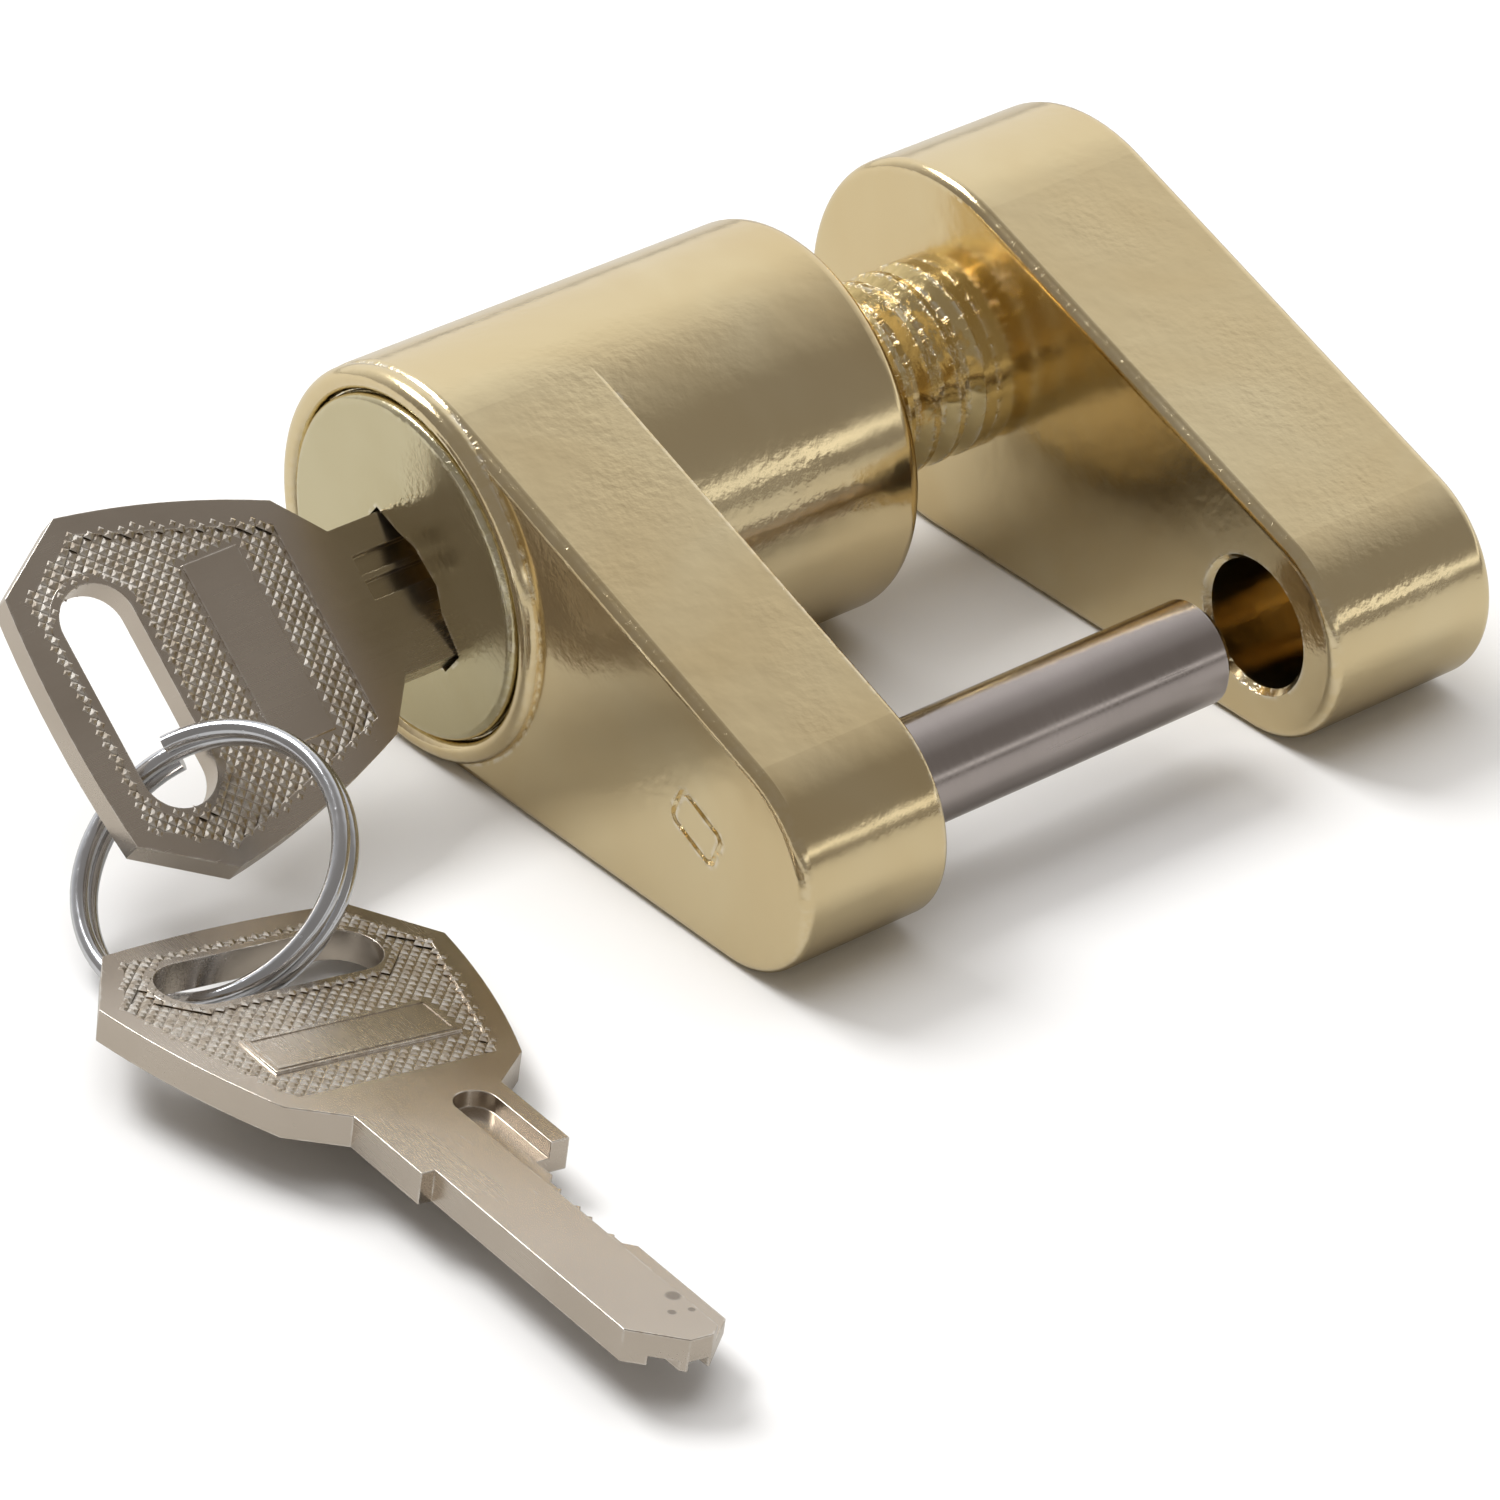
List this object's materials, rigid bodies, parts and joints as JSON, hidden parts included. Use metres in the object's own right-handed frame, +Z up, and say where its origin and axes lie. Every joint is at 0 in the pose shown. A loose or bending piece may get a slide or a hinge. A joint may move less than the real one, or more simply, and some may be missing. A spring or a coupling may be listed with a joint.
{
  "type": "hitch pin lock",
  "caption": "Keyed pin lock for a trailer coupler: a barrel link with a fixed pin, a second link on a ringed post, and its keys on a split ring.",
  "frame": {"origin": "on the pin's axis, where the pin leaves the near link", "axes": "+X along the pin from the key side to the far link, +Z up as the lock lies on its side, the arms reach from the barrel towards -Y"},
  "size_m": [0.0848, 0.0713, 0.024],
  "materials": {
    "casting": "bright brass-plated casting, satin with a light orange peel",
    "post": "polished brass-plated",
    "face": "brushed brass-plated plate",
    "cylinder": "machined brass",
    "steel": "ground bright steel",
    "spring_steel": "drawn wire and thin sheet",
    "key_metal": "nickel-plated, knurled bow",
    "ring_metal": "bright zinc-plated wire"
  },
  "bodies": {
    "body": {"lock_body": "casting", "hitch_pin": "steel", "cylinder_shell": "cylinder", "latch_springs": "spring_steel"},
    "far_link": {"far_link": "casting", "ringed_post": "post"},
    "plug": {"plug": "cylinder", "face_plate": "face", "plug_cam": "cylinder", "plug_clip": "spring_steel", "wafer_springs": "spring_steel"},
    "latch": {"latch_bar": "steel"},
    "key": {"key_in_lock": "key_metal"},
    "ring": {"split_ring": "ring_metal"},
    "spare": {"spare_key": "key_metal"},
    "wafer_1": {"wafer_1": "cylinder"},
    "wafer_2": {"wafer_2": "cylinder"},
    "wafer_3": {"wafer_3": "cylinder"},
    "wafer_4": {"wafer_4": "cylinder"},
    "wafer_5": {"wafer_5": "cylinder"}
  },
  "joints": [
    {"name": "link_slide", "type": "slide", "parent": "body", "child": "far_link", "axis": [1, 0, 0], "range_m": [-0.0095, 0.03]},
    {"name": "plug_turn", "type": "hinge", "parent": "body", "child": "plug", "pos_m": [0, 0.0286, 0.005], "axis": [1, 0, 0], "range_deg": [-90, 0]},
    {"name": "latch_drop", "type": "slide", "parent": "body", "child": "latch", "axis": [0, 0, 1], "range_m": [-0.0009, 0], "deforming": ["latch_springs"]},
    {"name": "key_withdraw", "type": "slide", "parent": "plug", "child": "key", "axis": [-1, 0, 0], "range_m": [0, 0.024]},
    {"name": "wafer_1_slide", "type": "slide", "parent": "plug", "child": "wafer_1", "axis": [0, 0.766, 0.6428], "range_m": [0, 0.0004]},
    {"name": "wafer_2_slide", "type": "slide", "parent": "plug", "child": "wafer_2", "axis": [0, 0.766, 0.6428], "range_m": [0, 0.0004]},
    {"name": "wafer_3_slide", "type": "slide", "parent": "plug", "child": "wafer_3", "axis": [0, 0.766, 0.6428], "range_m": [0, 0.0004]},
    {"name": "wafer_4_slide", "type": "slide", "parent": "plug", "child": "wafer_4", "axis": [0, 0.766, 0.6428], "range_m": [0, 0.0004]},
    {"name": "wafer_5_slide", "type": "slide", "parent": "plug", "child": "wafer_5", "axis": [0, 0.766, 0.6428], "range_m": [0, 0.0004]},
    {"name": "ring_swing", "type": "hinge", "parent": "key", "child": "ring", "pos_m": [-0.03014, 0.02358, 0.00202], "axis": [0.106, -0.2421, 0.9644], "range_deg": [-40, 2]},
    {"name": "spare_key_swing", "type": "hinge", "parent": "ring", "child": "spare", "pos_m": [-0.03391, 0.00922, -0.00446], "axis": [0.2471, -0.035, 0.9684], "range_deg": [-40, 2]}
  ],
  "couplings": [
    {"joint": "latch_drop", "follows": "plug_turn", "m_per_rad": 0.00057296},
    {"joint": "wafer_1_slide", "follows": "key_withdraw", "ratio": 0.016666},
    {"joint": "wafer_2_slide", "follows": "key_withdraw", "ratio": 0.016666},
    {"joint": "wafer_3_slide", "follows": "key_withdraw", "ratio": 0.016666},
    {"joint": "wafer_4_slide", "follows": "key_withdraw", "ratio": 0.016666},
    {"joint": "wafer_5_slide", "follows": "key_withdraw", "ratio": 0.016666}
  ]
}
